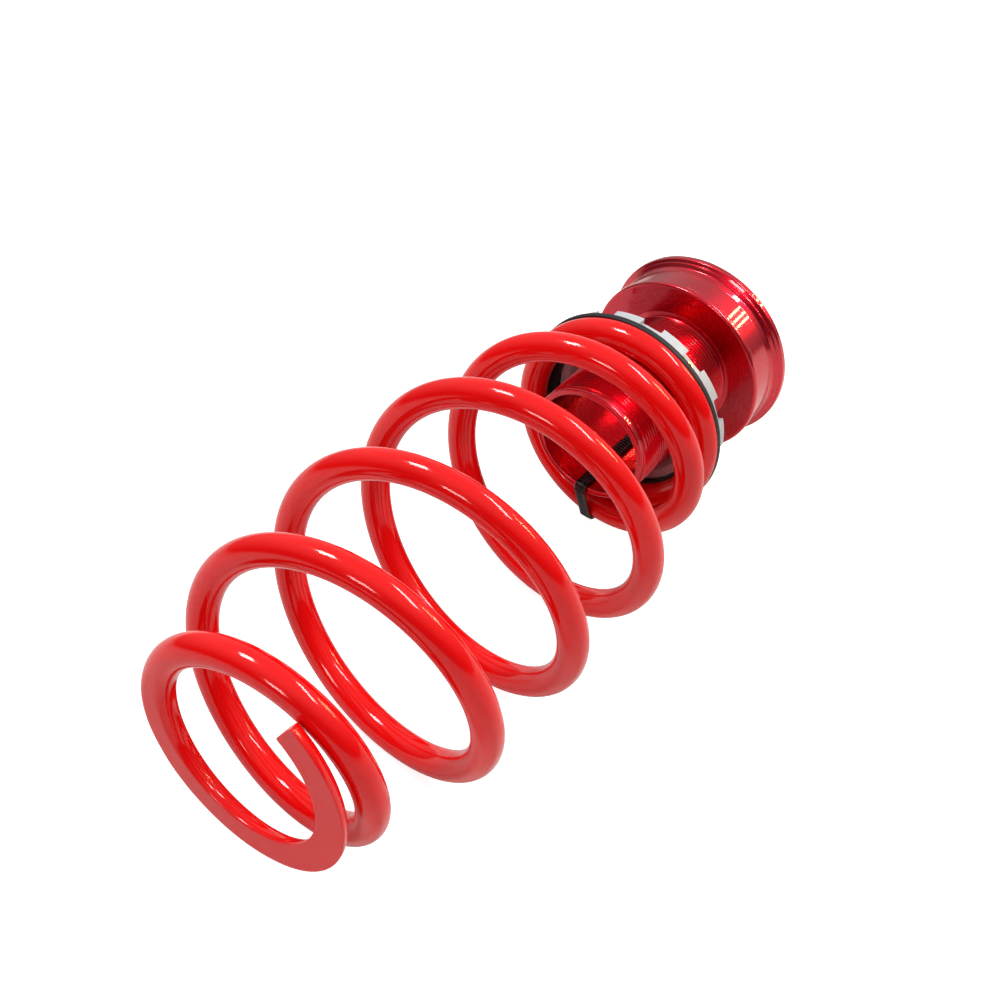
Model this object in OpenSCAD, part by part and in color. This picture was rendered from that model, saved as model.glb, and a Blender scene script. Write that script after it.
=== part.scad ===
// Rear axle coilover set, lying on its side: a barrel coil spring seated on a
// height adjuster.  The adjuster is a threaded sleeve with a flange, and its
// ring nut carries the rubber pad that the spring stands on.
// Every module is drawn with the set's axis along its own +Z, with z = 0 on
// the flange's front face, and lie_down() then lays the set along the X axis.

/* [Adjuster] */
// Outer diameter of the sleeve's thread
thread_d = 48; // [46:0.5:52]
// Pitch of the thread
thread_pitch = 1.5; // [1:0.25:2]
// Diameter of the bore through the adjuster
bore_d = 42.5; // [38:0.5:43]
// Length of the sleeve in front of the flange
sleeve_len = 61.8; // [55:0.2:75]
// Diameter of the flange's front rim
flange_front_d = 75; // [70:0.5:78]
// Diameter of the flange's rear lip
flange_lip_d = 79.6; // [78.5:0.1:82]
// Height of the flange
flange_h = 21; // [18:0.5:26]

/* [Ring nut and pad] */
// Outer diameter of the ring nut
nut_d = 80; // [76:0.5:82]
// Thickness of the ring nut
nut_t = 6.5; // [5:0.5:8]
// Number of spanner notches round the ring nut
notch_count = 12; // [8:1:14]
// Width of a spanner notch
notch_w = 9; // [6:0.5:9]
// Depth of a spanner notch
notch_depth = 2.5; // [1.5:0.5:3]
// Thickness of the rubber pad
pad_t = 2.4; // [2:0.2:4]

/* [Spring] */
// Diameter of the spring wire
wire_d = 11; // [9:0.5:11]
// Wire centre radius of the two closed end coils
end_coil_r = 37; // [36.5:0.5:38]
// Wire centre radius of the wide middle coils
mid_coil_r = 52; // [46:0.5:56]
// Pitch of the open middle coils
coil_pitch = 47; // [44:0.5:52]
// Height of the spring's seat above the flange's front face
seat_z = 38; // [34:0.5:40]

/* [Cable tie] */
// Width of the strap
tie_w = 6; // [4:0.5:7]
// Thickness of the strap
tie_t = 1.3; // [1:0.1:1.5]
// Where the tie lies round the axis, 180 being the underside
tie_angle = 175; // [170:1:178]

/* [Hidden] */
$fn = 96;

// Spring: the wire starts at start_angle and climbs for the stated turns.  The
// pitch grows from nothing over rise_turns and fades over fall_turns.  The
// radius widens over widen_turns and narrows again over narrow_turns.
steps_per_turn = 36;
start_angle = -185;
ring_count = 230;
rise_turns = [0.12, 1.73];
fall_turns = [4.68, 6.25];
widen_turns = [0.58, 2.42];
narrow_turns = [4.20, 5.70];
seat_rings = 36;
foot_rings = 36;
wire_sides = 16;
foot_z = seat_z + coil_pitch
       * (fall_turns[0] + fall_turns[1] - rise_turns[0] - rise_turns[1]) / 2;

// Adjuster and ring nut
thread_depth = 0.6 * thread_pitch;
thread_start = 1.2;
plain_rim = 2.4;
thread_turns = floor((sleeve_len - plain_rim - thread_start) / thread_pitch);
edge = 0.6;
nut_top = seat_z - pad_t - 0.1;
nut_floor = nut_top - nut_t;
run_fit = 0.05;
nut_bore_r = thread_d / 2 + run_fit;
mouth_r = 27.5;
pad_r = end_coil_r + wire_d / 2;
pad_bore_r = 30.5;
tooth_angle = 6;
screw_d = 4;
screw_angle = -39;
screw_tip_r = nut_bore_r + 0.6;
screw_out = 0.9;

// Cable tie
tie_gap = 0.25;
head_size = [9.5, 9, 6];
head_r = 31;

// Where the lying set stands in its own frame
axis_h = mid_coil_r + wire_d / 2;
back_z = -flange_h - tie_gap - head_size[2];
mid_z = (foot_z + back_z) / 2;

module lie_down() {
    translate([mid_z, 0, axis_h]) rotate([0, -90, 0]) children();
}

function ramp(u, span) = min(1, max(0, (u - span[0]) / (span[1] - span[0])));
function smooth(u, span) = let (s = ramp(u, span)) s * s * (3 - 2 * s);
// Turns climbed at full pitch by the time the wire has made u turns
function risen(u, span) = let (w = span[1] - span[0], s = ramp(u, span))
    w * s * s / 2 + max(0, u - span[1]);
function wire_z(u) = seat_z + coil_pitch * (risen(u, rise_turns) - risen(u, fall_turns));
function wire_r(u) = end_coil_r
    + (mid_coil_r - end_coil_r) * (smooth(u, widen_turns) - smooth(u, narrow_turns));

// One ring of wire vertices.  The ends are ground flat at both seat planes.
function ring(i) = let (u = i / steps_per_turn, a = start_angle + 360 * u,
        flat = wire_r(u) + wire_d / 2, r0 = flat / cos(180 / steps_per_turn) - wire_d / 2)
    [for (k = [0 : wire_sides - 1]) let (t = 360 * k / wire_sides,
            r = r0 + wire_d / 2 * cos(t),
            z = min(foot_z, max(seat_z, wire_z(u) + wire_d / 2 * sin(t))))
        [r * cos(a), r * sin(a), z]];

// The wire between two rings, as one closed solid
module wire(first, last) {
    n = wire_sides;
    m = last - first;
    points = [for (i = [first : last]) each ring(i)];
    sides = [for (i = [0 : m - 1], k = [0 : n - 1]) let (a = i * n + k, b = i * n + (k + 1) % n)
        each [[a, a + n, b], [b, a + n, b + n]]];
    start_cap = [[for (k = [0 : n - 1]) k]];
    end_cap = [[for (k = [n - 1 : -1 : 0]) m * n + k]];
    polyhedron(points, concat(sides, start_cap, end_cap), convexity = 12);
}

// Outline of the adjuster, from the bore's rear edge round the outside.  The
// thread is drawn as closed rings.
module adjuster_body() {
    front_r = flange_front_d / 2;
    lip_r = flange_lip_d / 2;
    band_r = front_r - 0.6;
    crest_r = thread_d / 2;
    root_r = crest_r - thread_depth;
    rear = [[bore_d / 2, -flange_h + edge], [bore_d / 2 + edge, -flange_h],
        [lip_r - 1.6, -flange_h], [lip_r - 0.5, -flange_h + 0.6], [lip_r, -flange_h + 1.7],
        [lip_r, -flange_h + 3], [lip_r - 0.5, -flange_h + 4]];
    band = [[lip_r - 1.3, -flange_h + 4.2], [lip_r - 1.3, -flange_h + 4.8],
        [lip_r - 0.9, -flange_h + 5.2], [band_r + 0.4, -flange_h + 7], [band_r, -flange_h + 8.4],
        [band_r, -3.4], [front_r, -2.4], [front_r, -1.2], [front_r - 0.4, -0.4],
        [front_r - 1.2, 0]];
    face = [[crest_r + 0.6, 0], [root_r, 0.5]];
    thread = [for (i = [0 : thread_turns - 1]) let (z = thread_start + i * thread_pitch)
        each [[root_r, z], [crest_r, z + 0.38 * thread_pitch], [crest_r, z + 0.62 * thread_pitch]]];
    rim_z = thread_start + thread_turns * thread_pitch;
    rim = [[root_r, rim_z], [crest_r - 0.1, rim_z + 0.5], [crest_r - 0.1, sleeve_len - edge],
        [crest_r - 0.1 - edge, sleeve_len], [bore_d / 2 + edge, sleeve_len],
        [bore_d / 2, sleeve_len - edge]];
    color([0.72, 0.02, 0.09])
        rotate_extrude() polygon(concat(rear, band, face, thread, rim));
}

module notch(angle) {
    rotate([0, 0, angle])
        translate([nut_d / 2 - notch_depth, -notch_w / 2, nut_floor - 1])
            cube([notch_depth + 2, notch_w, nut_t + 2]);
}

module ring_nut() {
    outer = nut_d / 2;
    color([0.86, 0.86, 0.85])
        difference() {
            rotate_extrude() polygon([[nut_bore_r + edge, nut_floor], [outer - 1, nut_floor],
                [outer, nut_floor + 1], [outer, nut_top - 0.4], [outer - 0.4, nut_top],
                [mouth_r, nut_top], [nut_bore_r, nut_top - (mouth_r - nut_bore_r)],
                [nut_bore_r, nut_floor + edge]]);
            for (i = [0 : notch_count - 1])
                notch(tooth_angle + (i + 0.5) * 360 / notch_count);
            rotate([0, 90, screw_angle]) translate([-nut_floor - nut_t / 2, 0, 0])
                cylinder(d = screw_d + 0.1, h = outer + 1);
        }
}

// Hexagon socket grub screw that locks the ring nut on the thread
module lock_screw() {
    head_r_end = nut_d / 2 - notch_depth + screw_out;
    color([0.78, 0.72, 0.60])
        rotate([0, 90, screw_angle]) translate([-nut_floor - nut_t / 2, 0, 0])
            difference() {
                union() {
                    translate([0, 0, screw_tip_r]) cylinder(d1 = 2.4, d2 = screw_d, h = 0.8);
                    translate([0, 0, screw_tip_r + 0.8])
                        cylinder(d = screw_d, h = head_r_end - screw_tip_r - 1.1);
                    translate([0, 0, head_r_end - 0.3]) cylinder(d1 = screw_d, d2 = 3.4, h = 0.3);
                }
                translate([0, 0, head_r_end - 2]) cylinder(d = 2.3, h = 3, $fn = 6);
            }
}

module rubber_seat() {
    low = seat_z - pad_t;
    color([0.07, 0.07, 0.07])
        rotate_extrude() polygon([[pad_bore_r, low], [pad_r - 0.5, low], [pad_r, low + 0.5],
            [pad_r, seat_z - 0.5], [pad_r - 0.5, seat_z], [pad_bore_r + 0.6, seat_z],
            [pad_bore_r, seat_z - 0.6]]);
}

// The wire is one piece of steel.  It is drawn in three lengths, so that the
// spring can shorten between its two end coils.
module seat_coil() { color([0.87, 0.04, 0.06]) wire(0, seat_rings); }
module active_coils() { color([0.87, 0.04, 0.06]) wire(seat_rings, ring_count - foot_rings); }
module foot_coil() { color([0.87, 0.04, 0.06]) wire(ring_count - foot_rings, ring_count); }

// What the tie goes round, seen in the plane through the axis: the sleeve's
// wall, the first coil's wire and the flange
module tie_core(grow) {
    u = (tie_angle - start_angle) / 360;
    corner = 0.6;
    hull() {
        for (r = [bore_d / 2 + corner, thread_d / 2 - corner])
            translate([r, sleeve_len - corner]) circle(r = corner + grow, $fn = 24);
        translate([wire_r(u) + 0.2, wire_z(u)]) circle(r = wire_d / 2 + grow, $fn = 48);
        translate([flange_lip_d / 2 - 2, -flange_h + 2]) circle(r = 2 + grow, $fn = 32);
        translate([bore_d / 2 + corner, -flange_h + corner]) circle(r = corner + grow, $fn = 24);
    }
}

module on_tie_plane() {
    rotate([0, 0, tie_angle]) rotate([90, 0, 0]) children();
}

module tie_strap() {
    color([0.05, 0.05, 0.055])
        on_tie_plane() translate([0, 0, -tie_w / 2]) linear_extrude(tie_w) difference() {
            tie_core(tie_gap + tie_t);
            tie_core(tie_gap);
        }
}

// The locking head, with the slot that the strap runs through
module tie_head() {
    slot = [head_size[0] + 2, tie_w + 0.4, tie_t + 0.4];
    color([0.05, 0.05, 0.055])
        rotate([0, 0, tie_angle]) difference() {
            translate([head_r - head_size[0] / 2, -head_size[1] / 2, back_z]) cube(head_size);
            translate([head_r, 0, -flange_h - tie_gap - tie_t / 2]) cube(slot, center = true);
        }
}

lie_down() adjuster_body();
lie_down() ring_nut();
lie_down() lock_screw();
lie_down() rubber_seat();
lie_down() seat_coil();
lie_down() active_coils();
lie_down() foot_coil();
lie_down() tie_strap();
lie_down() tie_head();
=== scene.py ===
"""Coilover spring set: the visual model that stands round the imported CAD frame.

A red barrel spring sits on a red anodised height adjuster, with a ring nut and a
rubber pad between them, and a cable tie holds the three together for transport.
Each piece is drawn with the set's axis along its own +Z and z = 0 on the flange's
front face, and PLACE then lays it along the X axis of the row frame.
"""

import math

import bmesh
import bpy
from bpy.props import FloatProperty, FloatVectorProperty, IntProperty, PointerProperty
from mathutils import Matrix, Vector
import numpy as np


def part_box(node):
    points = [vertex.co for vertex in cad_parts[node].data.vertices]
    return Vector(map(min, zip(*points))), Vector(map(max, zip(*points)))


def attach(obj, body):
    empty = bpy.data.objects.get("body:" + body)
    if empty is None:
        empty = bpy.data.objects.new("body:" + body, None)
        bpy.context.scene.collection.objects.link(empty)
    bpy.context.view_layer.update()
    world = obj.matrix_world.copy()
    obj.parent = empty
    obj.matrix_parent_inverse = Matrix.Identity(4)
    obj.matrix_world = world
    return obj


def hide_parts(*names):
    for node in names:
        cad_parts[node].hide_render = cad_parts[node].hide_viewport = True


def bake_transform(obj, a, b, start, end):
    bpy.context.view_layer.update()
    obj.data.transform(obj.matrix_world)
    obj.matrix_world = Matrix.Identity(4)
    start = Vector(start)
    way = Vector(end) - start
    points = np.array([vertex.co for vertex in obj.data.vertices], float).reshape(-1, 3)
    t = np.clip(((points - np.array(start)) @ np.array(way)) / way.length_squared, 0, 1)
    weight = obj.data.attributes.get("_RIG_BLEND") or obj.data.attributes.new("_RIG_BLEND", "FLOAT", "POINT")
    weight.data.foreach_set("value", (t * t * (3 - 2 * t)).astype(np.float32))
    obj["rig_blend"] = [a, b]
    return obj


bl_info = {
    "name": "Coilover Spring Set",
    "version": (1, 0, 0),
    "blender": (4, 5, 0),
    "location": "View3D > Sidebar > Coilover",
    "description": "Builds a barrel spring on its threaded height adjuster, piece by piece",
    "category": "Object",
}

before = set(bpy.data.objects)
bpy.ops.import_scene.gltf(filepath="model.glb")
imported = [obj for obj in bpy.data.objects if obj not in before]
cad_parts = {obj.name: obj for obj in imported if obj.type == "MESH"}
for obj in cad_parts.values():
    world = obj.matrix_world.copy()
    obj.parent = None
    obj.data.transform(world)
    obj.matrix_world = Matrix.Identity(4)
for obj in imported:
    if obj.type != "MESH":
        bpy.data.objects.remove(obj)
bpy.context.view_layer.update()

MM = 0.001
TURN = 2 * math.pi
WELD = 1e-6  # points nearer than this are one

# Heights are counted from the flange's front face, towards the spring's free end
FLANGE_H = 21 * MM
adjuster_low, adjuster_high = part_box("adjuster_body")
AXIS_H = (adjuster_low.z + adjuster_high.z) / 2
FACE_X = adjuster_high.x - FLANGE_H
SLEEVE_LEN = FACE_X - adjuster_low.x
FLANGE_R = (adjuster_high.z - adjuster_low.z) / 2
SEAT_Z = FACE_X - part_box("rubber_seat")[0].x
FOOT_Z = FACE_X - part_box("foot_coil")[0].x
NUT_LOW, NUT_HIGH = (FACE_X - x for x in (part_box("ring_nut")[1].x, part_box("ring_nut")[0].x))
PAD_LOW = FACE_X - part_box("rubber_seat")[1].x
SEAT_TRAVEL = 24 * MM
PLACE = Matrix.Translation((FACE_X, 0, AXIS_H)) @ Matrix.Rotation(-math.pi / 2, 4, "Y")


def linear(hex_colour):
    """An sRGB colour such as "#EC0A2C", as linear red, green and blue."""
    shares = [int(hex_colour[i : i + 2], 16) / 255 for i in (1, 3, 5)]
    return tuple(s / 12.92 if s <= 0.04045 else ((s + 0.055) / 1.055) ** 2.4 for s in shares)


# ---------------------------------------------------------------- what a user may change


def length(name, mm, about):
    """A size in metres whose default is given in millimetres."""
    return FloatProperty(
        name=name, description=about, default=mm * MM, unit="LENGTH", precision=5, min=0
    )


def paint(name, hex_colour, about):
    """A colour with its default given as an sRGB hex value."""
    return FloatVectorProperty(
        name=name, description=about, default=linear(hex_colour), subtype="COLOR", min=0, max=1
    )


class SpringSizes(bpy.types.PropertyGroup):
    wire_d: length("Wire Diameter", 11, "Diameter of the painted spring wire")
    end_r: length("End Coil Radius", 37, "Radius of the closed end coils, at the wire's centre")
    mid_r: length("Middle Coil Radius", 52, "Radius of the wide middle coils, at the wire's centre")
    pitch: length("Pitch", 47, "Distance from one middle coil to the next")
    edge: length("Edge Radius", 0.9, "Rounding of the wire's cut ends")
    soft: length("Ground Edge", 0.5, "How softly the paint turns over the ground flat's edge")
    start: FloatProperty(
        name="Start Angle",
        description="Where the wire begins, counted from the top of the lying set",
        default=math.radians(-185),
        subtype="ANGLE",
    )
    turns: FloatProperty(name="Turns", description="Turns of the whole wire", default=6.409)
    rings: IntProperty(name="Rings", description="Sections along the wire", default=620, min=60)
    sides: IntProperty(name="Sides", description="Points round a section", default=36, min=12)


class AdjusterSizes(bpy.types.PropertyGroup):
    bore_d: length("Bore", 42.5, "Diameter of the bore")
    thread_d: length("Thread Diameter", 48, "Outer diameter of the thread")
    pitch: length("Thread Pitch", 1.5, "Distance from one thread crest to the next")
    front_d: length("Front Rim", 75, "Diameter of the flange's front rim")
    plain_rim: length("Plain Rim", 2.4, "Length of the plain rim in front of the thread")


class RingNutSizes(bpy.types.PropertyGroup):
    outer_d: length("Outer Diameter", 80, "Diameter over the teeth")
    notch_w: length("Notch Width", 9, "Width of a spanner notch")
    notch_depth: length("Notch Depth", 2.5, "Depth of a spanner notch")
    bevel: length("Bevel", 0.35, "Width of the bright bevel on each edge")
    notches: IntProperty(name="Notches", description="Number of spanner notches", default=12)
    screw_d: length("Lock Screw", 4, "Diameter of the lock screw")


class TieSizes(bpy.types.PropertyGroup):
    width: length("Strap Width", 4.8, "Width of the cable tie's strap")
    thickness: length("Strap Thickness", 1.3, "Thickness of the strap with its ribs")
    rib_pitch: length("Rib Pitch", 1.5, "Distance from one rib to the next")
    rib_height: length("Rib Height", 0.32, "Height of the ribs over the valleys")
    angle: FloatProperty(
        name="Angle",
        description="Where the tie lies round the axis, a half turn being the underside",
        default=math.radians(175),
        subtype="ANGLE",
    )


class Finishes(bpy.types.PropertyGroup):
    spring: paint("Spring Paint", "#F60C0E", "Gloss powder coat of the spring")
    anodised: paint("Anodising", "#EC0A2C", "Dye of the anodised adjuster")
    aluminium: paint("Aluminium", "#CDD2D8", "Blasted aluminium of the ring nut")
    screw: paint("Screw", "#CFC3A6", "Yellow zinc on the lock screw")
    rubber: paint("Rubber", "#26272A", "Moulded rubber of the pad")
    nylon: paint("Nylon", "#15161A", "Black nylon of the cable tie")


class StageSizes(bpy.types.PropertyGroup):
    lens: FloatProperty(
        name="Focal Length", description="Lens on a 36 mm wide sensor", default=53.57, unit="CAMERA"
    )
    camera: FloatVectorProperty(
        name="Camera",
        description="Place of the camera",
        default=(-0.3222, -0.2338, 0.4112),
        subtype="TRANSLATION",
    )
    look: FloatVectorProperty(
        name="View Direction",
        description="Direction the camera looks in",
        default=(0.6069, 0.4481, -0.6562),
        subtype="DIRECTION",
    )
    floor: paint("Floor", "#D8D8D8", "Colour of the floor")


GROUPS = {
    "coil_spring": SpringSizes,
    "coil_adjuster": AdjusterSizes,
    "coil_nut": RingNutSizes,
    "coil_tie": TieSizes,
    "coil_finish": Finishes,
    "coil_stage": StageSizes,
}


# ---------------------------------------------------------------- nodes


def add(tree, kind, inputs=None, **settings):
    """Adds a node with its settings. Each input is a plain value, or the socket linked to it."""
    node = tree.nodes.new(kind)
    for key, value in settings.items():
        setattr(node, key, value)
    for key, value in (inputs or {}).items():
        if isinstance(value, bpy.types.NodeSocket):
            tree.links.new(value, node.inputs[key])
        else:
            node.inputs[key].default_value = value
    return node


class Rule:
    """A number that changes over a mesh, so that a shape's rule reads as plain arithmetic."""

    def __init__(self, tree, socket):
        self.tree = tree
        self.socket = socket

    def math(self, operation, *others):
        values = [o.socket if isinstance(o, Rule) else o for o in (self, *others)]
        node = add(self.tree, "ShaderNodeMath", dict(enumerate(values)), operation=operation)
        return Rule(self.tree, node.outputs[0])

    def __add__(self, other):
        return self.math("ADD", other)

    def __sub__(self, other):
        return self.math("SUBTRACT", other)

    def __rsub__(self, other):
        return self * -1 + other

    def __mul__(self, other):
        return self.math("MULTIPLY", other)

    def __truediv__(self, other):
        return self.math("DIVIDE", other)

    __rmul__ = __mul__

    def held(self, low=0.0, high=1.0):
        return self.math("MAXIMUM", low).math("MINIMUM", high)

    def remainder(self, whole):
        return (self - (self / whole).math("FLOOR") * whole).math("ROUND")


def ramp(u, low, high):
    """0 up to low, 1 from high on, and straight in between."""
    return ((u - low) / (high - low)).held()


def smooth(u, low, high):
    """A ramp that starts and ends gently."""
    t = ramp(u, low, high)
    return t * t * (3 - 2 * t)


def risen(u, low, high):
    """Turns climbed at full pitch after u turns, where the climb sets in from low to high."""
    t = ramp(u, low, high)
    return (high - low) * t * t * 0.5 + (u - high).math("MAXIMUM", 0.0)


SOCKETS = {
    float: "NodeSocketFloat",
    int: "NodeSocketInt",
    bpy.types.Material: "NodeSocketMaterial",
    bpy.types.Object: "NodeSocketObject",
}


def rule_tree(name, values):
    """A geometry tree with one named input for each value, and those inputs as sockets."""
    tree = bpy.data.node_groups.new(name, "GeometryNodeTree")
    tree.is_modifier = True
    tree.interface.new_socket("Geometry", in_out="INPUT", socket_type="NodeSocketGeometry")
    for label, value in values.items():
        tree.interface.new_socket(label, in_out="INPUT", socket_type=SOCKETS[type(value)])
    tree.interface.new_socket("Geometry", in_out="OUTPUT", socket_type="NodeSocketGeometry")
    return tree, add(tree, "NodeGroupInput").outputs


def skin(tree, rings, sides):
    """A grid to be wrapped round a path, with the ring and side numbers of its points as rules."""
    one_more = add(tree, "ShaderNodeMath", {0: sides, 1: 1.0}, operation="ADD").outputs[0]
    sheet = add(
        tree,
        "GeometryNodeMeshGrid",
        {"Size X": 1.0, "Size Y": 1.0, "Vertices X": rings, "Vertices Y": one_more},
    )
    spot = add(tree, "GeometryNodeInputPosition").outputs[0]
    place = add(tree, "ShaderNodeSeparateXYZ", {0: spot})
    last = Rule(tree, rings) - 1.0
    ring = ((Rule(tree, place.outputs["X"]) + 0.5) * last).math("ROUND")
    side = ((Rule(tree, place.outputs["Y"]) + 0.5) * Rule(tree, sides)).math("ROUND")
    return sheet.outputs["Mesh"], ring, last - ring, side


def wound(tree, r, angle, z):
    """The place at this radius, angle and height round the axis."""
    return add(
        tree,
        "ShaderNodeCombineXYZ",
        {
            "X": (r * angle.math("COSINE")).socket,
            "Y": (r * angle.math("SINE")).socket,
            "Z": z.socket,
        },
    ).outputs[0]


def finish_rule(tree, geometry, position, material):
    """Puts the grid's points in place, closes its seam and poles, and gives it its material."""
    placed = add(tree, "GeometryNodeSetPosition", {"Geometry": geometry, "Position": position})
    closed = add(
        tree, "GeometryNodeMergeByDistance", {"Geometry": placed.outputs[0], "Distance": WELD}
    )
    shaded = add(tree, "GeometryNodeSetShadeSmooth", {"Geometry": closed.outputs[0]})
    real = add(tree, "GeometryNodeRealizeInstances", {"Geometry": shaded.outputs[0]})
    coated = add(
        tree, "GeometryNodeSetMaterial", {"Geometry": real.outputs[0], "Material": material}
    )
    add(tree, "NodeGroupOutput", {0: coated.outputs[0]})


def run_rule(tree, values):
    """The tree's result as a plain mesh, laid in the row frame."""
    carrier = bpy.data.objects.new("carrier", bpy.data.meshes.new("carrier"))
    bpy.context.scene.collection.objects.link(carrier)
    modifier = carrier.modifiers.new("Rule", "NODES")
    modifier.node_group = tree
    for item in tree.interface.items_tree:
        if item.item_type == "SOCKET" and item.in_out == "INPUT" and item.name in values:
            modifier[item.identifier] = values[item.name]
    graph = bpy.context.evaluated_depsgraph_get()
    mesh = bpy.data.meshes.new_from_object(
        carrier.evaluated_get(graph), preserve_all_data_layers=True, depsgraph=graph
    )
    bpy.data.objects.remove(carrier)
    mesh.transform(PLACE)
    return mesh


# ---------------------------------------------------------------- meshes


def piece(name, mesh, body, slot, *nodes):
    """Shows a finished mesh as the piece that stands for these CAD nodes."""
    mesh.name = name
    shown = bpy.data.objects.new(name, mesh)
    bpy.context.scene.collection.objects.link(shown)
    if body:
        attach(shown, body)
    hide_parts(*nodes)
    return shown


def bevelled(shown, width):
    """Rounds the sharp edges of a finished piece over."""
    bevel = shown.modifiers.new("Bevel", "BEVEL")
    bevel.width, bevel.segments, bevel.limit_method = width, 3, "ANGLE"
    bevel.angle_limit = math.radians(30)
    bevel.harden_normals = True


def crisp(mesh, degrees):
    """Smooth shading that breaks at edges sharper than this."""
    work = bmesh.new()
    work.from_mesh(mesh)
    for face in work.faces:
        face.smooth = True
    for edge in work.edges:
        edge.smooth = not edge.is_manifold or edge.calc_face_angle(0) < math.radians(degrees)
    work.to_mesh(mesh)
    work.free()


def rounded(corners, steps=5):
    """A closed outline from (radius, height, rounding) corners. Each straight run between two
    roundings gets a point near its ends, so that its shading stays flat."""
    outline = []
    count = len(corners)
    for i, (r, z, rounding) in enumerate(corners):
        here = Vector((r, z))
        before = Vector(corners[i - 1][:2]) - here
        after = Vector(corners[(i + 1) % count][:2]) - here
        angle = before.angle(after)
        room = 0.45 * min(before.length, after.length)
        reach = min(rounding * MM / math.tan(angle / 2), room)
        if reach < WELD or angle > math.radians(176):
            outline.append(here)
            continue
        a, b = here + before.normalized() * reach, here + after.normalized() * reach
        guard = min(0.12 * MM, 0.2 * reach)
        outline.append(a + before.normalized() * guard)
        for k in range(steps + 1):
            t = k / steps
            outline.append(a.lerp(here, t).lerp(here.lerp(b, t), t))
        outline.append(b + after.normalized() * guard)
    return outline


def ringed(rings, loop=True):
    """A mesh from rings of points, each joined to the next, and the last to the first if loop
    is set. Otherwise the first and last ring are each closed to a point."""
    work = bmesh.new()
    grid = [[work.verts.new(p) for p in ring] for ring in rings]
    pairs = list(zip(grid, grid[1:] + grid[:1] if loop else grid[1:]))
    for low, high in pairs:
        for k in range(len(low)):
            work.faces.new((low[k - 1], low[k], high[k], high[k - 1]))
    if not loop:
        for ring in (grid[0], grid[-1]):
            pole = work.verts.new(sum((v.co for v in ring), Vector()) / len(ring))
            for k in range(len(ring)):
                work.faces.new((ring[k - 1], ring[k], pole))
    bmesh.ops.recalc_face_normals(work, faces=work.faces[:])
    mesh = bpy.data.meshes.new("turned")
    work.to_mesh(mesh)
    work.free()
    return mesh


def circle(r, z, count):
    """A ring of points round the axis."""
    return [
        Vector((r * math.cos(TURN * k / count), r * math.sin(TURN * k / count), z))
        for k in range(count)
    ]


def turned(outline, count=224):
    """The closed outline turned round the axis, as on a lathe."""
    return ringed([circle(p[0], p[1], count) for p in outline])


def join(*meshes):
    """One mesh of several closed shells."""
    work = bmesh.new()
    for mesh in meshes:
        work.from_mesh(mesh)
        bpy.data.meshes.remove(mesh)
    joined = bpy.data.meshes.new("joined")
    work.to_mesh(joined)
    work.free()
    return joined


# ---------------------------------------------------------------- materials

GROUND_DULLER = 0.3  # roughness added where the wire has been ground
MARKS_SHARE = 0.3  # height of the lathe marks, against the blasting


def surface(name, colour, *, metallic, roughness, **sockets):
    """A new Principled material with its plain values."""
    material = bpy.data.materials.new(name)
    material.use_nodes = True
    tree = material.node_tree
    tree.nodes.clear()
    shader = add(
        tree,
        "ShaderNodeBsdfPrincipled",
        {"Base Color": (*colour, 1), "Metallic": metallic, "Roughness": roughness},
    )
    for key, value in sockets.items():
        shader.inputs[key.replace("_", " ")].default_value = value
    add(tree, "ShaderNodeOutputMaterial", {"Surface": shader.outputs[0]})
    return material, tree, shader


def textured(
    tree, shader, colour, *, drift, dark, relief, strength, depth, gloss=None, rough=None
):
    """Works a finish's unevenness into its shader. The colour drifts to a darker share of itself,
    the relief becomes bump with a depth in millimetres, and the gloss runs between two values of
    roughness. Each pattern is a ready socket, or a noise's grain in millimetres and its detail."""
    spot = add(tree, "ShaderNodeTexCoord").outputs["Object"]
    patterns = []
    for pattern in (drift, relief, gloss):
        if isinstance(pattern, tuple):
            noise = {"Vector": spot, "Scale": 1 / (pattern[0] * MM), "Detail": pattern[1]}
            pattern = add(tree, "ShaderNodeTexNoise", noise).outputs["Fac"]
        patterns.append(pattern)
    drift, relief, gloss = patterns
    mix = add(
        tree,
        "ShaderNodeMix",
        {6: (*colour, 1), 7: (*(c * dark for c in colour), 1)},
        data_type="RGBA",
    )
    tree.links.new(mix.outputs[2], shader.inputs["Base Color"])
    spans = [(drift, mix.inputs[0], 0.0, 1.0)]
    if gloss is not None:
        spans.append((gloss, shader.inputs["Roughness"], *rough))
    for pattern, target, low, high in spans:
        # Most of a noise lies between 0.3 and 0.7, and that part fills the whole span
        span = {"Value": pattern, "From Min": 0.3, "From Max": 0.7, "To Min": low, "To Max": high}
        tree.links.new(add(tree, "ShaderNodeMapRange", span).outputs[0], target)
    bump = add(
        tree, "ShaderNodeBump", {"Height": relief, "Strength": strength, "Distance": depth * MM}
    )
    tree.links.new(bump.outputs[0], shader.inputs["Normal"])


def powder_coat(colour):
    """Gloss powder coat on steel: a smooth skin with a faint orange peel, duller where the
    ground end faces lie under it."""
    material, tree, shader = surface(
        "gloss powder coat",
        colour,
        metallic=0.0,
        roughness=0.1,
        Specular_IOR_Level=0.3,
        Coat_Weight=0.3,
        Coat_Roughness=0.03,
    )
    textured(
        tree,
        shader,
        colour,
        drift=(30, 2.0),
        dark=0.93,
        relief=(1.6, 1.0),
        strength=0.12,
        depth=0.05,
        gloss=(9, 2.0),
        rough=(0.08, 0.14),
    )
    ground = add(tree, "ShaderNodeAttribute", attribute_name="ground").outputs["Fac"]
    skin_gloss = shader.inputs["Roughness"].links[0].from_socket
    gloss = add(
        tree,
        "ShaderNodeMath",
        {0: ground, 1: GROUND_DULLER, 2: skin_gloss},
        operation="MULTIPLY_ADD",
    )
    tree.links.new(gloss.outputs[0], shader.inputs["Roughness"])
    return material


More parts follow.
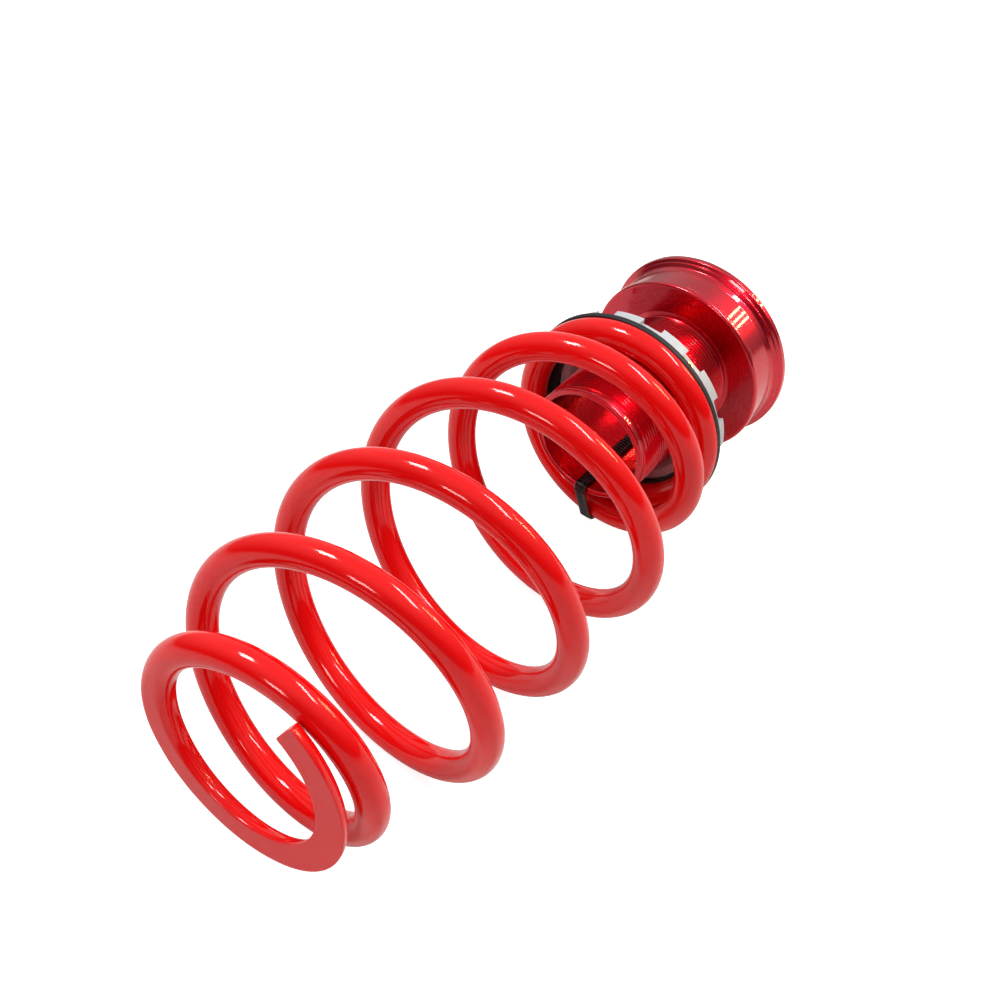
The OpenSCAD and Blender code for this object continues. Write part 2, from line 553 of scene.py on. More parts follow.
def anodised_aluminium(colour):
    """Turned aluminium, lightly blasted and anodised red: a coloured metal with a faint sparkle
    and lathe marks that run round the axis. Both are finer on a real part, and are drawn coarser
    so that they show: the marks at 0.35 mm and the blasting at 0.5 mm."""
    material, tree, shader = surface(
        "red anodised aluminium",
        colour,
        metallic=1.0,
        roughness=0.25,
        Coat_Weight=1.0,
        Coat_Roughness=0.06,
        Coat_IOR=1.6,
    )
    spot = add(tree, "ShaderNodeTexCoord").outputs["Object"]
    centred = add(
        tree, "ShaderNodeMapping", {"Vector": spot, "Location": (0, 0, -AXIS_H)}
    ).outputs[0]
    along = add(tree, "ShaderNodeSeparateXYZ", {0: centred}).outputs["X"]
    across = add(tree, "ShaderNodeVectorMath", {0: centred, 1: (0, 1, 1)}, operation="MULTIPLY")
    radius = add(tree, "ShaderNodeVectorMath", {0: across.outputs[0]}, operation="LENGTH")
    depth = add(tree, "ShaderNodeMath", {0: along, 1: radius.outputs["Value"]}, operation="ADD")
    marks = add(
        tree,
        "ShaderNodeTexNoise",
        {"W": depth.outputs[0], "Scale": 1 / (0.35 * MM), "Detail": 2.0},
        noise_dimensions="1D",
    ).outputs["Fac"]
    blast = add(
        tree, "ShaderNodeTexNoise", {"Vector": spot, "Scale": 1 / (0.5 * MM), "Detail": 1.0}
    ).outputs["Fac"]
    height = add(
        tree, "ShaderNodeMath", {0: marks, 1: MARKS_SHARE, 2: blast}, operation="MULTIPLY_ADD"
    ).outputs[0]
    textured(
        tree,
        shader,
        colour,
        drift=(0.6, 3.0),
        dark=0.7,
        relief=height,
        strength=0.02,
        depth=0.015,
        gloss=marks,
        rough=(0.26, 0.34),
    )
    return material


def blasted_aluminium(colour):
    """Bead blasted aluminium: pale and matt, with a fine even grain. Its dents are drawn at
    0.35 mm, coarser than they are, so that they show."""
    material, tree, shader = surface("blasted aluminium", colour, metallic=0.25, roughness=0.6)
    textured(
        tree,
        shader,
        colour,
        drift=(2, 2.0),
        dark=0.93,
        relief=(0.35, 1.0),
        strength=0.25,
        depth=0.04,
        gloss=(3, 2.0),
        rough=(0.52, 0.66),
    )
    return material


def zinc_steel(colour):
    """Yellow zinc plated steel: a pale straw metal, a little uneven. Its grain is drawn coarser
    than the real plating's, so that it shows on so small a screw."""
    material, tree, shader = surface("zinc plated steel", colour, metallic=1.0, roughness=0.35)
    textured(
        tree,
        shader,
        colour,
        drift=(0.8, 2.0),
        dark=0.85,
        relief=(0.4, 2.0),
        strength=0.2,
        depth=0.03,
    )
    return material


def moulded_rubber(colour):
    """Moulded rubber: near black, with a soft grey sheen. The mould's texture is drawn at 0.5 mm,
    coarser than it is, so that it shows."""
    material, tree, shader = surface(
        "moulded rubber", colour, metallic=0.0, roughness=0.55, Specular_IOR_Level=0.4
    )
    textured(
        tree,
        shader,
        colour,
        drift=(6, 2.0),
        dark=0.75,
        relief=(0.5, 2.0),
        strength=0.3,
        depth=0.04,
        gloss=(4, 2.0),
        rough=(0.45, 0.62),
    )
    return material


def black_nylon(colour):
    """Injection moulded nylon: black, with a slightly waxy gloss. Its flow texture is drawn at
    0.6 mm, coarser than it is, so that it shows."""
    material, tree, shader = surface("black nylon", colour, metallic=0.0, roughness=0.25)
    textured(
        tree,
        shader,
        colour,
        drift=(5, 2.0),
        dark=0.7,
        relief=(0.6, 2.0),
        strength=0.15,
        depth=0.03,
        gloss=(2.5, 2.0),
        rough=(0.18, 0.32),
    )
    return material


# ---------------------------------------------------------------- the spring's shape

# Turns between which the wire takes up its pitch, gives it up, widens and narrows
SPANS = {"Rise": (0.12, 1.73), "Fall": (4.64, 6.29), "Widen": (0.58, 2.42), "Narrow": (4.20, 5.70)}
CAP_STEPS = 4  # sections that round each cut end over
POLE_SHIFT = 0.4  # how far a cut end's middle moves off the ground flat, in wire radii
GROUND_SHOWS = 0.6 * MM  # depth ground away from which the paint is at its dullest
SHARE_STEPS = 400  # steps in which the spring's give is added up


def plain(low, high, t):
    """0 up to low, 1 from high on, and straight in between, for a plain number."""
    return min(1.0, max(0.0, (t - low) / (high - low)))


def wire_radius(sizes, u):
    """Radius of the wire's centre after u turns, for pieces that lie against it."""
    share = sum(
        sign * plain(*SPANS[k], u) ** 2 * (3 - 2 * plain(*SPANS[k], u))
        for sign, k in ((1, "Widen"), (-1, "Narrow"))
    )
    return sizes.end_r + (sizes.mid_r - sizes.end_r) * share


def wire_height(sizes, u):
    """Height of the wire's centre over the flange's front face after u turns."""
    climbed = sum(
        sign * ((b - a) * plain(a, b, u) ** 2 / 2 + max(0.0, u - b))
        for sign, (a, b) in ((1, SPANS["Rise"]), (-1, SPANS["Fall"]))
    )
    return SEAT_Z + sizes.pitch * climbed


def spring_mesh(sizes, material):
    """The wire, wound by rule: its sections lie along a helix whose pitch and radius change near
    both ends, its cut ends are rounded over, and its end coils are ground flat."""
    values = {
        "Rings": sizes.rings,
        "Sides": sizes.sides,
        "Wire Radius": sizes.wire_d / 2,
        "End Coil Radius": sizes.end_r,
        "Middle Coil Radius": sizes.mid_r,
        "Pitch": sizes.pitch,
        "Turns": sizes.turns,
        "Start Angle": sizes.start,
        "Seat Height": SEAT_Z,
        "Foot Height": FOOT_Z,
        "Edge Radius": sizes.edge,
        "Ground Edge": sizes.soft,
    }
    for label, (low, high) in SPANS.items():
        values[label + " From"], values[label + " To"] = low, high
    values["Material"] = material
    tree, given = rule_tree("Barrel spring", values)
    size = {k: Rule(tree, given[k]) for k in values if k not in ("Material", "Rings", "Sides")}
    spans = {k: (size[k + " From"], size[k + " To"]) for k in SPANS}
    sheet, ring, ring_left, side = skin(tree, given["Rings"], given["Sides"])

    # Near each end: how far a section is sunk along the wire, and how much smaller it is
    edge = size["Edge Radius"]
    thick = size["Wire Radius"]
    sunk, shy = [], []
    for number in (ring, ring_left):
        quarter = ((number - 1.0) / float(CAP_STEPS)).held() * (math.pi / 2)
        sunk.append(edge * (1.0 - quarter.math("COSINE")))
        shy.append(edge * (1.0 - quarter.math("SINE")))
    inside = ring.math("MINIMUM", 1.0) * ring_left.math("MINIMUM", 1.0)
    section = (thick - shy[0] - shy[1]) * inside
    turns_each = (size["End Coil Radius"] * TURN).math("POWER", -1.0)
    even = ((ring - (CAP_STEPS + 1.0)) / (ring + ring_left - 2.0 * (CAP_STEPS + 1))).held()
    u = (
        sunk[0] * turns_each
        + even * (size["Turns"] - 2.0 * edge * turns_each)
        + (edge - sunk[1]) * turns_each
    )
    radius = size["End Coil Radius"] + (size["Middle Coil Radius"] - size["End Coil Radius"]) * (
        smooth(u, *spans["Widen"]) - smooth(u, *spans["Narrow"])
    )
    climbed = risen(u, *spans["Rise"]) - risen(u, *spans["Fall"])
    around = side / Rule(tree, given["Sides"]) * TURN
    r = radius + section * around.math("COSINE")
    lift = (ring_left.math("MINIMUM", 1.0) - ring.math("MINIMUM", 1.0)) * thick * POLE_SHIFT
    # The height of the round wire, then held softly between the two ground flats
    free_z = size["Seat Height"] + size["Pitch"] * climbed + section * around.math("SINE") + lift
    soft = size["Ground Edge"] * size["Ground Edge"]
    over = free_z - size["Seat Height"]
    z = size["Seat Height"] + (over + (over * over + soft).math("SQRT")) * 0.5
    under = size["Foot Height"] - z
    z = size["Foot Height"] - (under + (under * under + soft).math("SQRT")) * 0.5
    ground = ((z - free_z).math("ABSOLUTE") / GROUND_SHOWS).held()
    position = wound(tree, r, size["Start Angle"] + u * TURN, z)
    noted = sheet
    for label, rule in (("turn", u), ("ground", ground)):
        noted = add(
            tree,
            "GeometryNodeStoreNamedAttribute",
            {"Geometry": noted, "Name": label, "Value": rule.socket},
            data_type="FLOAT",
            domain="POINT",
        ).outputs[0]
    finish_rule(tree, noted, position, given["Material"])
    return run_rule(tree, values)


THREAD_DEPTH = 0.6  # in pitches
THREAD_STEPS = 72  # sections in a turn
THREAD_FADE = 24.0  # sections over which the ridge fades out at an end
ROOT_HALF, FLANK = 0.49, 0.36  # half the ridge's width at its root, less this at its crest
THREAD_SUNK = 0.15 * MM  # how far the ridge reaches into the sleeve


def thread_mesh(sizes, material, z_low, z_high):
    """The thread's ridge: a flat-topped V wound round the sleeve, faded out at both ends."""
    turns = (z_high - z_low) / sizes.pitch
    values = {
        "Rings": int(turns * THREAD_STEPS),
        "Root Radius": sizes.thread_d / 2 - THREAD_DEPTH * sizes.pitch,
        "Depth": THREAD_DEPTH * sizes.pitch,
        "Pitch": sizes.pitch,
        "Start Height": z_low,
        "Turns": turns,
        "Material": material,
    }
    tree, given = rule_tree("Screw thread", values)
    size = {k: Rule(tree, given[k]) for k in values if k not in ("Material", "Rings")}
    corners = add(tree, "FunctionNodeInputInt", integer=4).outputs[0]
    sheet, ring, ring_left, side = skin(tree, given["Rings"], corners)
    corner = side.remainder(4.0)
    crest = 1.0 - ((corner - 1.5).math("ABSOLUTE") - 0.5).held()
    upper = ((corner - 1.5) * 4.0).held(-1.0, 1.0)
    fade = (ring / THREAD_FADE).held() * (ring_left / THREAD_FADE).held()
    closed = ring.math("MINIMUM", 1.0) * ring_left.math("MINIMUM", 1.0)
    r = size["Root Radius"] - THREAD_SUNK + (size["Depth"] + THREAD_SUNK) * crest * fade
    half = size["Pitch"] * (ROOT_HALF - FLANK * crest) * closed
    u = ring / (ring + ring_left) * size["Turns"]
    z = size["Start Height"] + u * size["Pitch"] + half * upper
    finish_rule(tree, sheet, wound(tree, r, u * TURN, z), given["Material"])
    return run_rule(tree, values)


# ---------------------------------------------------------------- operators

LIT_POINT = Vector((0, 0, 0.06))  # the lamps face this point
# Each lamp: name, direction from the set, distance, size, brightness and tint
LAMPS = (
    ("back softbox", (-0.13, 0.37, 0.92), 1.6, (0.4, 0.32), 26, (1, 1, 1)),
    ("front strip", (0.46, -0.40, 0.82), 1.6, (0.85, 0.15), 24, (1, 1, 1)),
    ("low tube", (0.75, -0.50, 0.40), 1.7, (0.4, 0.035), 55, (1, 0.62, 0.3)),
    ("middle tube", (0.75, -0.48, 0.47), 1.7, (0.4, 0.035), 55, (1, 0.62, 0.3)),
    ("high tube", (0.75, -0.46, 0.55), 1.7, (0.4, 0.035), 55, (1, 0.62, 0.3)),
    ("end softbox", (-0.9, -0.05, 0.4), 1.7, (0.35, 0.3), 12, (1, 0.97, 0.93)),
)
FLOOR_GLOW = 0.85  # the floor's own light towards the camera, which keeps it plain
# The sky brightens with its height along a slanting line, from the first of these heights and
# strengths to the second
SKY_UP = (0.4, 0.15, 1)
SKY_HEIGHTS = (0.05, 0.7)
SKY_STRENGTHS = (0.05, 0.56)
TOOTH_ANGLE = math.radians(6)
SCREW_ANGLE = math.radians(-39)
SMOOTH_BELOW = 32  # in degrees; sharper edges of metal stay crisp
SOFT_BELOW = 40  # the same for rubber and nylon


class COILOVER_OT_stage(bpy.types.Operator):
    """Lays the floor and sets up the soft studio lights and the camera"""

    bl_idname = "coilover.stage"
    bl_label = "Floor, Lights and Camera"

    def execute(self, context):
        sizes = context.scene.coil_stage
        scene = context.scene
        lens = bpy.data.cameras.new("camera")
        lens.lens, lens.sensor_width = sizes.lens, 36
        lens.clip_start, lens.clip_end = 0.01, 50
        camera = bpy.data.objects.new("camera", lens)
        back = -Vector(sizes.look).normalized()
        right = Vector((0, 0, 1)).cross(back).normalized()
        turn = Matrix((right, back.cross(right), back)).transposed()
        camera.matrix_world = Matrix.Translation(sizes.camera) @ turn.to_4x4()
        scene.collection.objects.link(camera)
        scene.camera = camera

        work = bmesh.new()
        bmesh.ops.create_grid(work, x_segments=1, y_segments=1, size=8)
        mesh = bpy.data.meshes.new("floor")
        work.to_mesh(mesh)
        work.free()
        floor = bpy.data.objects.new("floor", mesh)
        scene.collection.objects.link(floor)
        material, tree, shader = surface(
            "pale floor",
            sizes.floor,
            metallic=0.0,
            roughness=0.9,
            Emission_Color=(1, 1, 1, 1),
            Specular_IOR_Level=0.0,
        )
        direct = add(tree, "ShaderNodeLightPath").outputs["Is Camera Ray"]
        lit = add(tree, "ShaderNodeMath", {0: direct, 1: FLOOR_GLOW}, operation="MULTIPLY")
        tree.links.new(lit.outputs[0], shader.inputs["Emission Strength"])
        mesh.materials.append(material)

        for name, direction, distance, size, glow, tint in LAMPS:
            lamp = bpy.data.lights.new(name, "AREA")
            lamp.shape, lamp.size, lamp.size_y = "RECTANGLE", size[0], size[1]
            lamp.energy = glow * math.pi * size[0] * size[1]
            lamp.color = tint
            holder = bpy.data.objects.new(name, lamp)
            away = Vector(direction).normalized()
            holder.matrix_world = (
                Matrix.Translation(LIT_POINT + away * distance)
                @ away.to_track_quat("Z", "Y").to_matrix().to_4x4()
            )
            scene.collection.objects.link(holder)

        world = bpy.data.worlds.new("studio")
        world.use_nodes = True
        scene.world = world
        tree = world.node_tree
        tree.nodes.clear()
        toward = add(tree, "ShaderNodeTexCoord").outputs["Generated"]
        rise = add(
            tree, "ShaderNodeVectorMath", {0: toward, 1: SKY_UP}, operation="DOT_PRODUCT"
        ).outputs["Value"]
        span = dict(zip(("From Min", "From Max", "To Min", "To Max"), SKY_HEIGHTS + SKY_STRENGTHS))
        sky = add(tree, "ShaderNodeMapRange", {"Value": rise, **span}).outputs[0]
        seen = add(tree, "ShaderNodeLightPath").outputs["Is Camera Ray"]
        shown = add(tree, "ShaderNodeMath", {0: sky, 1: seen}, operation="MAXIMUM").outputs[0]
        glow = add(tree, "ShaderNodeBackground", {"Color": (1, 1, 1, 1), "Strength": shown})
        add(tree, "ShaderNodeOutputWorld", {"Surface": glow.outputs[0]})
        scene.view_settings.view_transform = "Standard"
        return {"FINISHED"}


class COILOVER_OT_spring(bpy.types.Operator):
    """Winds the barrel spring, and lets it shorten between its two end coils"""

    bl_idname = "coilover.spring"
    bl_label = "Spring"

    def execute(self, context):
        sizes = context.scene.coil_spring
        mesh = spring_mesh(sizes, powder_coat(context.scene.coil_finish.spring))
        turn = [0.0] * len(mesh.vertices)
        mesh.attributes["turn"].data.foreach_get("value", turn)
        spring = piece(
            "spring", mesh, None, "spring_paint", "seat_coil", "active_coils", "foot_coil"
        )
        first, last = 1.0, sizes.turns - 1.0
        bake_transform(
            spring,
            "spring_seat",
            "spring_foot",
            start=(FACE_X - wire_height(sizes, first), 0, AXIS_H),
            end=(FACE_X - wire_height(sizes, last), 0, AXIS_H),
        )
        # A wide coil gives way more than a narrow one, as the cube of its radius. All the points
        # of one section get the same share of the travel, so the wire stays round.
        width = (last - first) / SHARE_STEPS
        given = [0.0]
        for k in range(SHARE_STEPS):
            given.append(given[-1] + wire_radius(sizes, first + (k + 0.5) * width) ** 3)
        shares = []
        for u in turn:
            t = min(max((u - first) / width, 0.0), SHARE_STEPS - 1e-6)
            k = int(t)
            shares.append((given[k] + (given[k + 1] - given[k]) * (t - k)) / given[-1])
        mesh.attributes["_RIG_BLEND"].data.foreach_set("value", shares)
        return {"FINISHED"}


class COILOVER_OT_adjuster(bpy.types.Operator):
    """Turns the adjuster's flange and sleeve, and cuts the sleeve's thread"""

    bl_idname = "coilover.adjuster"
    bl_label = "Height Adjuster"

    def execute(self, context):
        sizes = context.scene.coil_adjuster
        lip, bore = FLANGE_R / MM, sizes.bore_d / 2 / MM
        front, crest = sizes.front_d / 2 / MM, sizes.thread_d / 2 / MM
        root, end, back = crest - THREAD_DEPTH * sizes.pitch / MM, SLEEVE_LEN / MM, -FLANGE_H / MM
        band = front - 1.0
        plain_z = end - sizes.plain_rim / MM
        # Radius, height and rounding of each corner of the section, in millimetres
        corners = [
            (bore, back, 0.6),
            (lip - 0.9, back, 0.7),
            (lip, back + 1.2, 0.9),
            (lip, back + 3.4, 0.8),
            (lip - 1.3, back + 4.2, 0.15),
            (lip - 1.3, back + 4.9, 0.15),
            (band + 0.5, back + 5.9, 0.9),
            (band, back + 8.2, 2.0),
            (band, -3.4, 0.5),
            (front, -2.5, 1.0),
            (front, 0, 1.3),
            (crest + 1.2, 0, 0.4),
            (root, 0.6, 0.5),
            (root, plain_z - 0.4, 0.2),
            (crest - 0.1, plain_z + 0.2, 0.2),
            (crest - 0.1, end, 0.8),
            (bore, end, 0.8),
        ]
        material = anodised_aluminium(context.scene.coil_finish.anodised)
        body = turned(rounded([(r * MM, z * MM, f) for r, z, f in corners]))
        body.transform(PLACE)
        thread = thread_mesh(sizes, material, 1.6 * MM, (plain_z - 0.9) * MM)
        mesh = join(body, thread)
        mesh.materials.clear()
        mesh.materials.append(material)
        crisp(mesh, SMOOTH_BELOW)
        piece("adjuster", mesh, "adjuster", "red_anodised", "adjuster_body")
        return {"FINISHED"}


class COILOVER_OT_ring_nut(bpy.types.Operator):
    """Makes the ring nut with its spanner notches and bright bevels"""

    bl_idname = "coilover.ring_nut"
    bl_label = "Ring Nut"

    def execute(self, context):
        sizes = context.scene.coil_nut
        thread_r = context.scene.coil_adjuster.thread_d / 2
        outer, half = sizes.outer_d / 2, sizes.notch_w / 2
        floor_r = outer - sizes.notch_depth
        lean = math.asin(half / outer)
        step = TURN / sizes.notches
        # Inside the outline, both faces are ringed along spokes, whose points between two notches
        # keep clear of the notches' walls
        lean_in = math.atan(half / floor_r) + math.radians(0.3)
        arc_steps = 9
        outline, spokes = [], []
        for k in range(sizes.notches):
            middle = TOOTH_ANGLE + (k + 0.5) * step
            across = Vector((-math.sin(middle), math.cos(middle)))
            out = Vector((math.cos(middle), math.sin(middle)))
            for share in (-1, -0.5, 0, 0.5, 1):
                outline.append(out * floor_r + across * half * share)
                spokes.append(outline[-1].normalized())
            for j in range(arc_steps + 1):
                a = middle + lean + (step - 2 * lean) * j / arc_steps
                outline.append(Vector((math.cos(a), math.sin(a))) * outer)
                a = middle + lean_in + (step - 2 * lean_in) * j / arc_steps
                spokes.append(Vector((math.cos(a), math.sin(a))))
        bore = thread_r + 0.05 * MM
        chamfer = 0.6 * MM
        mouth = bore + 3.45 * MM
        inset = floor_r - 1 * MM
        rings = []
        for r, z in (
            (bore + chamfer, NUT_LOW),
            (inset, NUT_LOW),
            (None, NUT_LOW),
            (None, NUT_HIGH),
            (inset, NUT_HIGH),
            (mouth, NUT_HIGH),
            (bore, NUT_HIGH - (mouth - bore)),
            (bore, NUT_LOW + chamfer),
        ):
            flat = outline if r is None else [p * r for p in spokes]
            rings.append([Vector((p.x, p.y, z)) for p in flat])
        mesh = ringed(rings)
        mesh.transform(PLACE)
        mesh.materials.append(blasted_aluminium(context.scene.coil_finish.aluminium))
        mesh.shade_smooth()
        nut = piece("ring_nut_body", mesh, "collar", "blasted_aluminium", "ring_nut")
        bevelled(nut, sizes.bevel)
        return {"FINISHED"}


class COILOVER_OT_lock_screw(bpy.types.Operator):
    """Makes the hexagon socket grub screw that locks the ring nut"""

    bl_idname = "coilover.lock_screw"
    bl_label = "Lock Screw"

    def execute(self, context):
        sizes = context.scene.coil_nut
        r = sizes.screw_d / 2
        tip = context.scene.coil_adjuster.thread_d / 2 + 0.65 * MM
        top = sizes.outer_d / 2 - sizes.notch_depth + 0.9 * MM
        hexagon = 1.15 * MM
        count = 48
        rings = [
            circle(0.5 * MM, tip, count),
            circle(1.2 * MM, tip, count),
            circle(r, tip + 0.8 * MM, count),
            circle(r, top - 0.35 * MM, count),
            circle(r - 0.08 * MM, top - 0.15 * MM, count),
            circle(r - 0.3 * MM, top, count),
        ]
        # The socket's wall is a hexagon, whose points are drawn in from its corners' circle
        for z in (top, top - 0.12 * MM, top - 1.9 * MM):
            ring = []
            for k in range(count):
                a = TURN * k / count
                flat = math.cos(math.pi / 6) / math.cos((a % (TURN / 6)) - math.pi / 6)
                out = Vector((math.cos(a), math.sin(a), 0))
                ring.append(out * hexagon * flat + Vector((0, 0, z)))
            rings.append(ring)
        mesh = ringed(rings, loop=False)
        middle = (NUT_LOW + NUT_HIGH) / 2
        mesh.transform(
            Matrix.Translation((0, 0, middle))
            @ Matrix.Rotation(SCREW_ANGLE, 4, "Z")
            @ Matrix.Rotation(math.pi / 2, 4, "Y")
        )
        mesh.transform(PLACE)
        mesh.materials.append(zinc_steel(context.scene.coil_finish.screw))
        crisp(mesh, SMOOTH_BELOW)
        piece("grub_screw", mesh, "collar", "screw_steel", "lock_screw")
        return {"FINISHED"}


class COILOVER_OT_pad(bpy.types.Operator):
    """Makes the rubber pad that the spring stands on"""

    bl_idname = "coilover.pad"
    bl_label = "Rubber Pad"

    def execute(self, context):
        low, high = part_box("rubber_seat")
        outer = (high.z - low.z) / 2
        bore = 30.5 * MM
        corners = [
            (bore, PAD_LOW, 0.4),
            (outer, PAD_LOW, 0.6),
            (outer, SEAT_Z, 0.6),
            (bore, SEAT_Z, 0.6),
        ]
        mesh = turned(rounded(corners))
        mesh.transform(PLACE)
        mesh.materials.append(moulded_rubber(context.scene.coil_finish.rubber))
        crisp(mesh, SOFT_BELOW)
        piece("rubber_pad", mesh, "spring_seat", "pad_rubber", "rubber_seat")
        return {"FINISHED"}


PATH_STEPS = 720  # points round the tie's path
STRAP_GAP = 0.25 * MM  # left between the strap and what it lies on
SQUARED = 1.25  # makes the strap's round section nearly square
RIB_STEPS = 4.0  # sections from one rib to the next


def tie_path(scene, grow):
    """The line that a strap this far from its load follows, as (radius, height) in the plane
    through the axis: round the sleeve's wall, the first full coil and the flange. It also clears
    the coil and the pad where they stand when the ring nut is screwed right down."""
    spring, tie = scene.coil_spring, scene.coil_tie
    bore, crest = scene.coil_adjuster.bore_d / 2, scene.coil_adjuster.thread_d / 2
    u = (tie.angle - spring.start) / TURN
    corner = 0.6 * MM
    coil_r, coil_z = wire_radius(spring, u) + 0.2 * MM, wire_height(spring, u)
    pad_low, pad_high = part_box("rubber_seat")
    rounds = (
        (bore + corner, SLEEVE_LEN - corner, corner),
        (crest - corner, SLEEVE_LEN - corner, corner),
        (coil_r, coil_z, spring.wire_d / 2),
        (coil_r, coil_z - SEAT_TRAVEL, spring.wire_d / 2),
        ((pad_high.z - pad_low.z) / 2, PAD_LOW - SEAT_TRAVEL, 0.4 * MM),
        (FLANGE_R - 2 * MM, -FLANGE_H + 2 * MM, 2 * MM),
        (bore + corner, -FLANGE_H + corner, corner),
    )
    line = []
    for k in range(PATH_STEPS):
        a = TURN * k / PATH_STEPS
        way = Vector((math.cos(a), math.sin(a)))
        r, z, size = max(rounds, key=lambda c: c[0] * way.x + c[1] * way.y + c[2])
        line.append(Vector((r, z)) + way * (size + grow))
    return line


class COILOVER_OT_tie(bpy.types.Operator):
    """Lays the ribbed cable tie round the sleeve, the first coil and the flange"""

    bl_idname = "coilover.tie"
    bl_label = "Cable Tie"

    def execute(self, context):
        scene = context.scene
        sizes = scene.coil_tie
        material = black_nylon(scene.coil_finish.nylon)
        line = tie_path(scene, STRAP_GAP + sizes.thickness / 2)
        out = Vector((math.cos(sizes.angle), math.sin(sizes.angle), 0))
        data = bpy.data.curves.new("tie_path", "CURVE")
        data.dimensions = "3D"
        spline = data.splines.new("POLY")
        spline.points.add(len(line) - 1)
        for point, p in zip(spline.points, line):
            point.co = (*(out * p.x + Vector((0, 0, p.y))), 1)
        spline.use_cyclic_u = True
        path = bpy.data.objects.new("tie_path", data)
        scene.collection.objects.link(path)
        around = sum((a - b).length for a, b in zip(line, line[1:] + line[:1]))
        values = {
            "Path": path,
            "Rings": int(RIB_STEPS) * round(around / sizes.rib_pitch) + 1,
            "Sides": 16,
            "Width": sizes.width,
            "Thickness": sizes.thickness,
            "Rib Height": sizes.rib_height,
            "Material": material,
        }
        mesh = strap_mesh(values, Vector((-out.y, out.x, 0)))
        bpy.data.objects.remove(path)
        crisp(mesh, SOFT_BELOW)
        strap = piece("strap", mesh, None, "tie_nylon", "tie_strap")
        u = (sizes.angle - scene.coil_spring.start) / TURN
        coil_r, coil_z = wire_radius(scene.coil_spring, u), wire_height(scene.coil_spring, u)
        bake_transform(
            strap,
            "adjuster",
            "spring_seat",
            start=(FACE_X, 0, AXIS_H),
            end=(FACE_X - coil_z, 0, AXIS_H),
        )
        # The bend round the first coil goes along with the coil. The strap gives way between
        # that bend and the flange's front face, and between that bend and the sleeve's rim.
        crest = scene.coil_adjuster.thread_d / 2
        shares = [
            min(
                plain(crest, coil_r, math.hypot(v.co.y, v.co.z - AXIS_H)),
                plain(0, coil_z, FACE_X - v.co.x),
            )
            for v in mesh.vertices
        ]
        mesh.attributes["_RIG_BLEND"].data.foreach_set("value", shares)

        head = tie_head_mesh(sizes)
        head.materials.append(material)
        shown = piece("strap_head", head, "adjuster", "tie_nylon", "tie_head")
        bevelled(shown, 0.45 * MM)
        return {"FINISHED"}


def strap_mesh(values, side_way):
    """A flat strap along a closed path, with ribs across the middle of its outer face."""
    tree, given = rule_tree("Ribbed strap", values)
    sheet, ring, ring_left, side = skin(tree, given["Rings"], given["Sides"])
    path = add(tree, "GeometryNodeObjectInfo", {"Object": given["Path"]})
    factor = ring / (ring + ring_left)
    found = add(
        tree,
        "GeometryNodeSampleCurve",
        {"Curves": path.outputs["Geometry"], "Factor": factor.socket},
        mode="FACTOR",
        use_all_curves=True,
    )
    along = found.outputs["Tangent"]
    outward = add(
        tree, "ShaderNodeVectorMath", {0: tuple(side_way), 1: along}, operation="CROSS_PRODUCT"
    )
    outward = add(tree, "ShaderNodeVectorMath", {0: outward.outputs[0]}, operation="NORMALIZE")
    around = side / Rule(tree, given["Sides"]) * TURN
    across = (around.math("COSINE") * SQUARED).held(-1.0, 1.0)
    over = (around.math("SINE") * SQUARED).held(-1.0, 1.0)
    valley = (ring.remainder(RIB_STEPS) - 1.0).held()
    # 1 over the strap's middle, fading to 0 towards its smooth edges
    inner = (2.6 - across.math("ABSOLUTE") * 4.0).held()
    top = over.held()
    high = over * Rule(tree, given["Thickness"]) * 0.5
    high = high - valley * inner * top * Rule(tree, given["Rib Height"])
    wide = across * Rule(tree, given["Width"]) * 0.5
    place = found.outputs["Position"]
    for way, amount in ((tuple(side_way), wide), (outward.outputs[0], high)):
        moved = add(
            tree, "ShaderNodeVectorMath", {0: way, "Scale": amount.socket}, operation="SCALE"
        )
        place = add(
            tree, "ShaderNodeVectorMath", {0: place, 1: moved.outputs[0]}, operation="ADD"
        ).outputs[0]
    finish_rule(tree, sheet, place, given["Material"])
    return run_rule(tree, values)


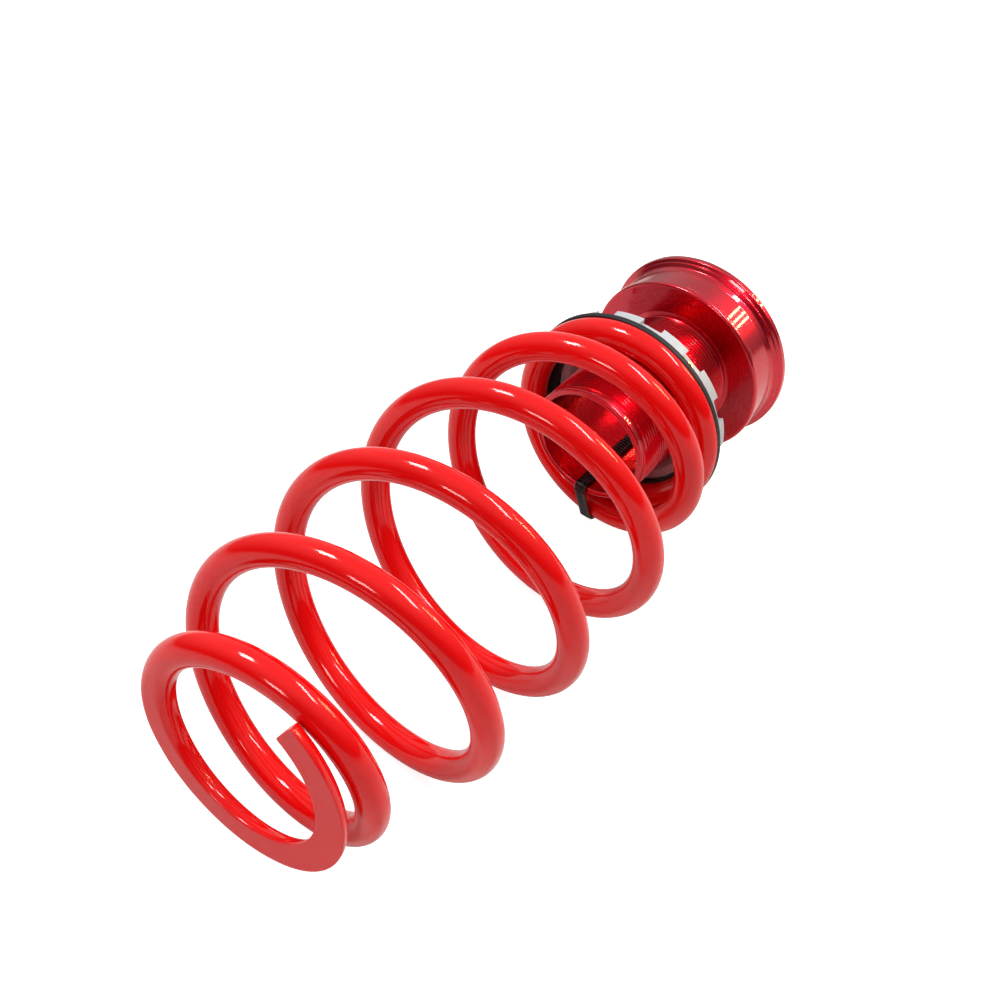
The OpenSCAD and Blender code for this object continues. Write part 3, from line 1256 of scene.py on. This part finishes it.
def tie_head_mesh(sizes):
    """The locking head behind the flange: a block with sloping shoulders and the recess of its
    window in the back."""
    low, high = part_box("tie_head")
    front, rear = FACE_X - low.x, FACE_X - high.x
    middle = 31 * MM
    wide = 4.5 * MM
    long = 4.75 * MM
    window = 1.6 * MM
    outline = [
        (-long, front),
        (long, front),
        (long, rear + 1.4 * MM),
        (long - 1.2 * MM, rear),
        (window, rear),
        (window, rear + 0.9 * MM),
        (-window, rear + 0.5 * MM),
        (-window, rear),
        (-long + 1.2 * MM, rear),
        (-long, rear + 1.4 * MM),
    ]
    work = bmesh.new()
    ends = [
        [work.verts.new((middle + r, y, z)) for r, z in outline] for y in (-wide, wide)
    ]
    for ring in ends:
        work.faces.new(ring)
    for k in range(len(outline)):
        work.faces.new((ends[0][k - 1], ends[0][k], ends[1][k], ends[1][k - 1]))
    bmesh.ops.recalc_face_normals(work, faces=work.faces[:])
    mesh = bpy.data.meshes.new("head")
    work.to_mesh(mesh)
    work.free()
    mesh.transform(Matrix.Rotation(sizes.angle, 4, "Z"))
    mesh.transform(PLACE)
    mesh.shade_smooth()
    return mesh


# ---------------------------------------------------------------- panel and main

STEPS = (
    COILOVER_OT_stage,
    COILOVER_OT_adjuster,
    COILOVER_OT_ring_nut,
    COILOVER_OT_lock_screw,
    COILOVER_OT_pad,
    COILOVER_OT_spring,
    COILOVER_OT_tie,
)


class COILOVER_PT_panel(bpy.types.Panel):
    """Lists every size, every colour and every step"""

    bl_idname = "COILOVER_PT_panel"
    bl_label = "Coilover Spring Set"
    bl_space_type = "VIEW_3D"
    bl_region_type = "UI"
    bl_category = "Coilover"

    def draw(self, context):
        for name, group in GROUPS.items():
            box = self.layout.box()
            box.label(text=group.__name__)
            for key in group.__annotations__:
                box.prop(getattr(context.scene, name), key)
        for step in STEPS:
            self.layout.operator(step.bl_idname)


CLASSES = (*GROUPS.values(), *STEPS, COILOVER_PT_panel)


def register():
    for kind in CLASSES:
        bpy.utils.register_class(kind)
    for name, group in GROUPS.items():
        setattr(bpy.types.Scene, name, PointerProperty(type=group))


def unregister():
    for name in GROUPS:
        delattr(bpy.types.Scene, name)
    for kind in reversed(CLASSES):
        bpy.utils.unregister_class(kind)


def main():
    register()
    for step in STEPS:
        getattr(bpy.ops.coilover, step.bl_idname.removeprefix("coilover."))()


if __name__ == "__main__":
    main()
